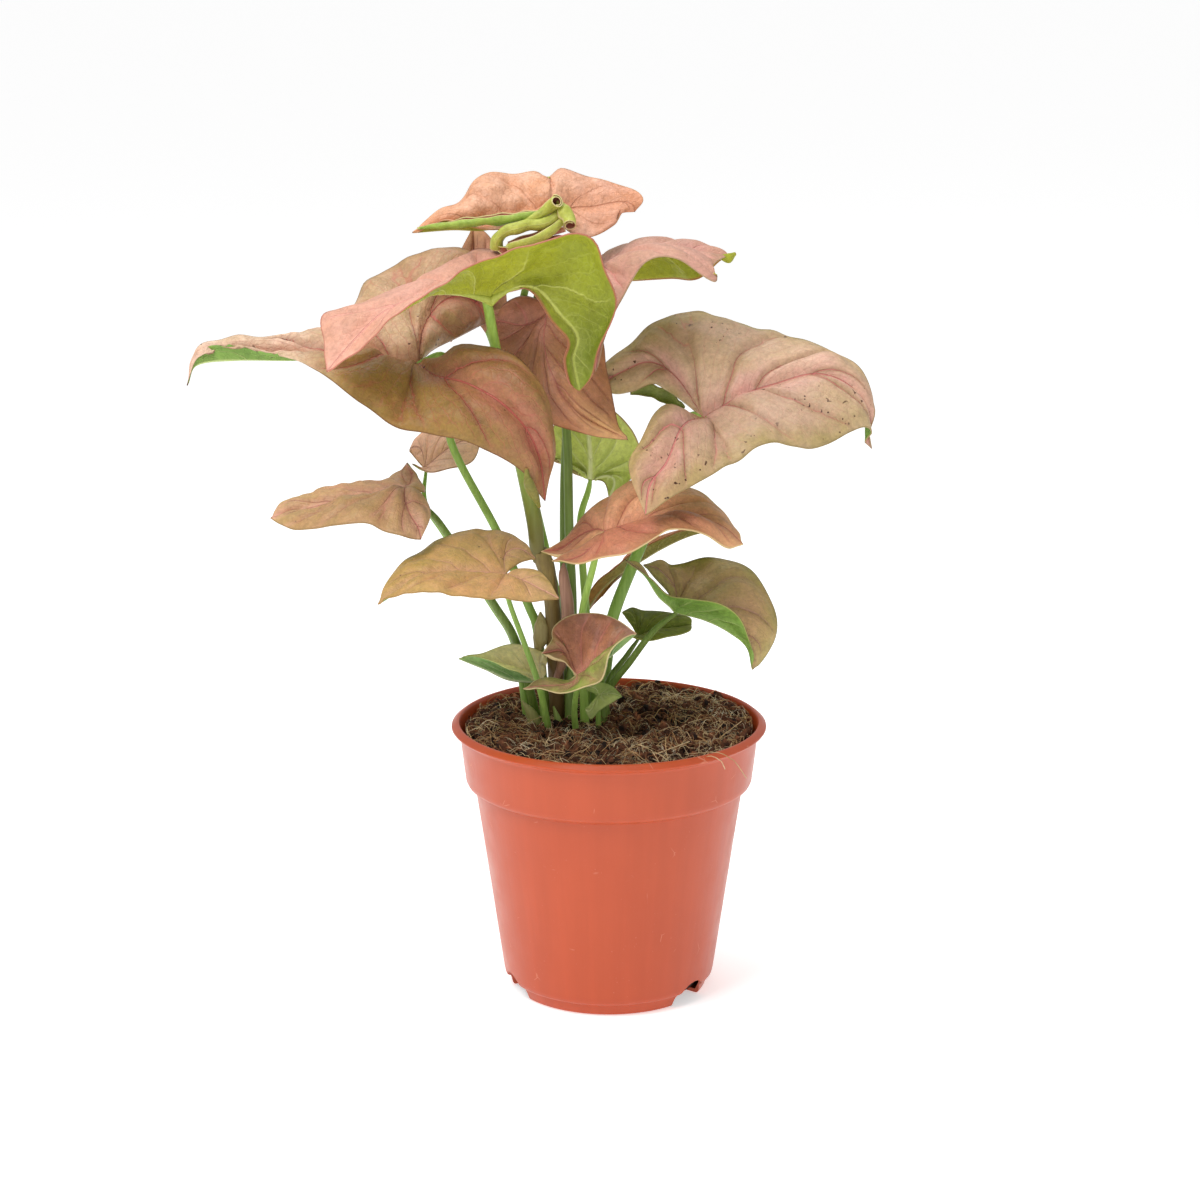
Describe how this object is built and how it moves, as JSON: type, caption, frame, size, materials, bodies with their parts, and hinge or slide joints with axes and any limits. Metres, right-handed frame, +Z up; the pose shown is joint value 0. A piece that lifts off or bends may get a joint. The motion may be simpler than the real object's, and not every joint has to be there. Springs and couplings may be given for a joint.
{
  "type": "potted arrowhead plant",
  "caption": "Young arrowhead plant with pink, olive and green arrow-shaped leaves on slender stalks, in a round plastic nursery pot of soil.",
  "frame": {"origin": "middle of the pot's flat foot, on the surface that it stands on", "axes": "+Z up, the way the plant grows; -Y is the front; +X is to the right seen from the front"},
  "size_m": [0.252, 0.12, 0.312],
  "materials": {
    "pot_plastic": "terracotta-coloured moulded plastic, satin gloss",
    "potting_mix": "crumbly peat and coconut fibre, rough",
    "stalk_green": "smooth fresh plant stalk, slightly waxy",
    "stem_brown": "smooth brown-green plant stem",
    "dry_sheath": "dry papery plant sheath",
    "leaf_salmon": "salmon to orange leaf, satin",
    "leaf_pink": "pale pink to beige leaf with pink veins, satin",
    "leaf_brown": "red-brown leaf, satin",
    "leaf_olive": "olive leaf with faint pink veins, satin",
    "leaf_green": "lime to green leaf with pale veins, satin"
  },
  "bodies": {
    "root": {"pot": "pot_plastic", "soil": "potting_mix", "main_stem": "stem_brown", "rolled_new_leaf": "leaf_brown", "stem_bract": "dry_sheath", "base_sheath_left": "dry_sheath", "base_sheath_front": "dry_sheath", "leaf_top_blade": "leaf_salmon", "leaf_top_stalk": "stalk_green", "leaf_high_left_blade": "leaf_green", "leaf_high_left_stalk": "stalk_green", "leaf_high_right_blade": "leaf_pink", "leaf_high_right_stalk": "stalk_green", "leaf_right_blade": "leaf_pink", "leaf_right_stalk": "stalk_green", "leaf_left_blade": "leaf_pink", "leaf_left_stalk": "stalk_green", "leaf_high_back_blade": "leaf_brown", "leaf_high_back_stalk": "stalk_green", "leaf_front_middle_blade": "leaf_brown", "leaf_front_middle_stalk": "stalk_green", "leaf_back_right_blade": "leaf_green", "leaf_back_right_stalk": "stalk_green", "leaf_back_left_blade": "leaf_olive", "leaf_back_left_stalk": "stalk_green", "leaf_low_left_blade": "leaf_olive", "leaf_low_left_stalk": "stalk_green", "leaf_front_left_blade": "leaf_olive", "leaf_front_left_stalk": "stalk_green", "leaf_front_right_blade": "leaf_salmon", "leaf_front_right_stalk": "stalk_green", "leaf_edge_right_blade": "leaf_brown", "leaf_edge_right_stalk": "stalk_green", "leaf_low_right_blade": "leaf_olive", "leaf_low_right_stalk": "stalk_green", "leaf_low_back_blade": "leaf_green", "leaf_low_back_stalk": "stalk_green", "leaf_small_front_blade": "leaf_salmon", "leaf_small_front_stalk": "stalk_green", "leaf_small_left_blade": "leaf_green", "leaf_small_left_stalk": "stalk_green", "leaf_base_right_blade": "leaf_green", "leaf_base_right_stalk": "stalk_green"}
  },
  "joints": []
}
